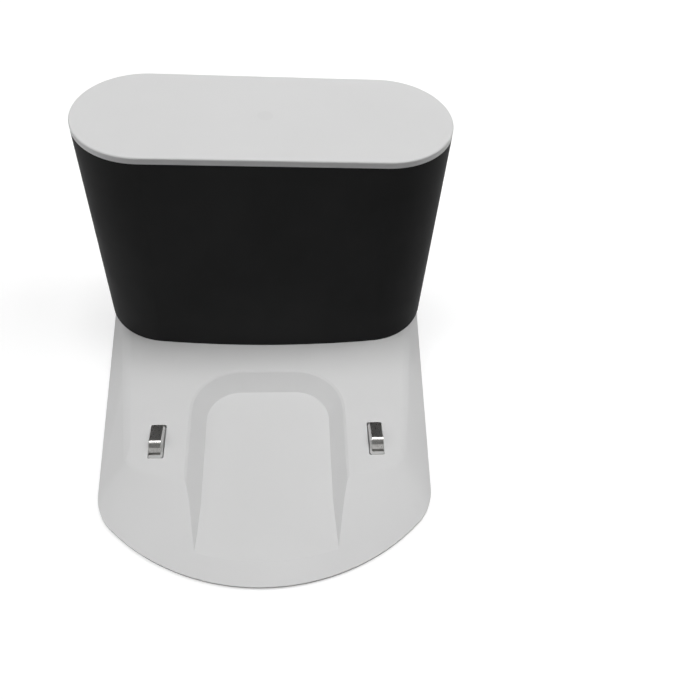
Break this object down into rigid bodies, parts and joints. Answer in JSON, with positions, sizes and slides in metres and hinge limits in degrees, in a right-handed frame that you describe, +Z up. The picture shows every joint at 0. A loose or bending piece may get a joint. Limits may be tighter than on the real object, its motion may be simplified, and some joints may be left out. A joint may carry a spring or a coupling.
{
  "type": "robot vacuum charging dock",
  "caption": "Floor dock that charges a robot vacuum: low white ramp with a caster bay and sprung contacts, and a rounded tower with a dark infrared window and a cord store behind.",
  "frame": {"origin": "centre of the bounding box on the floor", "axes": "+X to the right seen from the front, +Y to the back where the tower stands, +Z up"},
  "size_m": [0.13, 0.151, 0.098],
  "materials": {
    "white_plastic": "fine satin mould texture",
    "cover_plastic": "fine satin mould texture",
    "dark_window": "polished, passes infrared only",
    "contact_plate": "bright nickel plate",
    "foot_rubber": "matt moulded rubber",
    "spring_steel": "drawn spring wire",
    "screw_steel": "zinc plated",
    "board_laminate": "solder resist over glass laminate",
    "black_plastic": "fine spark texture",
    "pin_metal": "nickel plated",
    "lens_plastic": "diffusing white",
    "lamp_epoxy": "clear cast",
    "capacitor_sleeve": "shrunk sleeve",
    "sink_aluminium": "rolled sheet",
    "core_ferrite": "taped winding on a ferrite core",
    "choke_copper": "enamelled winding",
    "fuse_ceramic": "glazed",
    "lead_sleeve": "smooth sleeve"
  },
  "bodies": {
    "dock": {"base_plate": "white_plastic", "rear_housing": "white_plastic", "top_cap": "white_plastic", "bottom_cover": "cover_plastic", "ir_window": "dark_window", "front_left_foot": "foot_rubber", "front_right_foot": "foot_rubber", "rear_left_foot": "foot_rubber", "rear_right_foot": "foot_rubber", "left_contact_spring": "spring_steel", "right_contact_spring": "spring_steel", "cover_screws": "screw_steel", "tower_screws": "screw_steel", "board_screws": "screw_steel", "beacon_screws": "screw_steel", "power_board": "board_laminate", "beacon_board": "board_laminate", "mains_inlet": "black_plastic", "beacon_shroud": "black_plastic", "inlet_pins": "pin_metal", "indicator_lens": "lens_plastic", "status_lamp": "lamp_epoxy", "ir_emitters": "lamp_epoxy", "bulk_capacitor": "capacitor_sleeve", "output_capacitors": "capacitor_sleeve", "heat_sink": "sink_aluminium", "transformer": "core_ferrite", "line_choke": "choke_copper", "mains_fuse": "fuse_ceramic", "left_contact_lead": "lead_sleeve", "right_contact_lead": "lead_sleeve", "inlet_leads": "lead_sleeve", "beacon_lead": "lead_sleeve"},
    "left_contact_unit": {"left_contact": "contact_plate", "left_contact_carrier": "white_plastic"},
    "right_contact_unit": {"right_contact": "contact_plate", "right_contact_carrier": "white_plastic"}
  },
  "joints": [
    {"name": "left_contact_press", "type": "slide", "parent": "dock", "child": "left_contact_unit", "axis": [0, 0, -1], "range_m": [0, 0.0025], "stiffness_N_per_m": 300, "springref_m": -0.002, "deforming": ["left_contact_spring", "left_contact_lead"]},
    {"name": "right_contact_press", "type": "slide", "parent": "dock", "child": "right_contact_unit", "axis": [0, 0, -1], "range_m": [0, 0.0025], "stiffness_N_per_m": 300, "springref_m": -0.002, "deforming": ["right_contact_spring", "right_contact_lead"]}
  ]
}
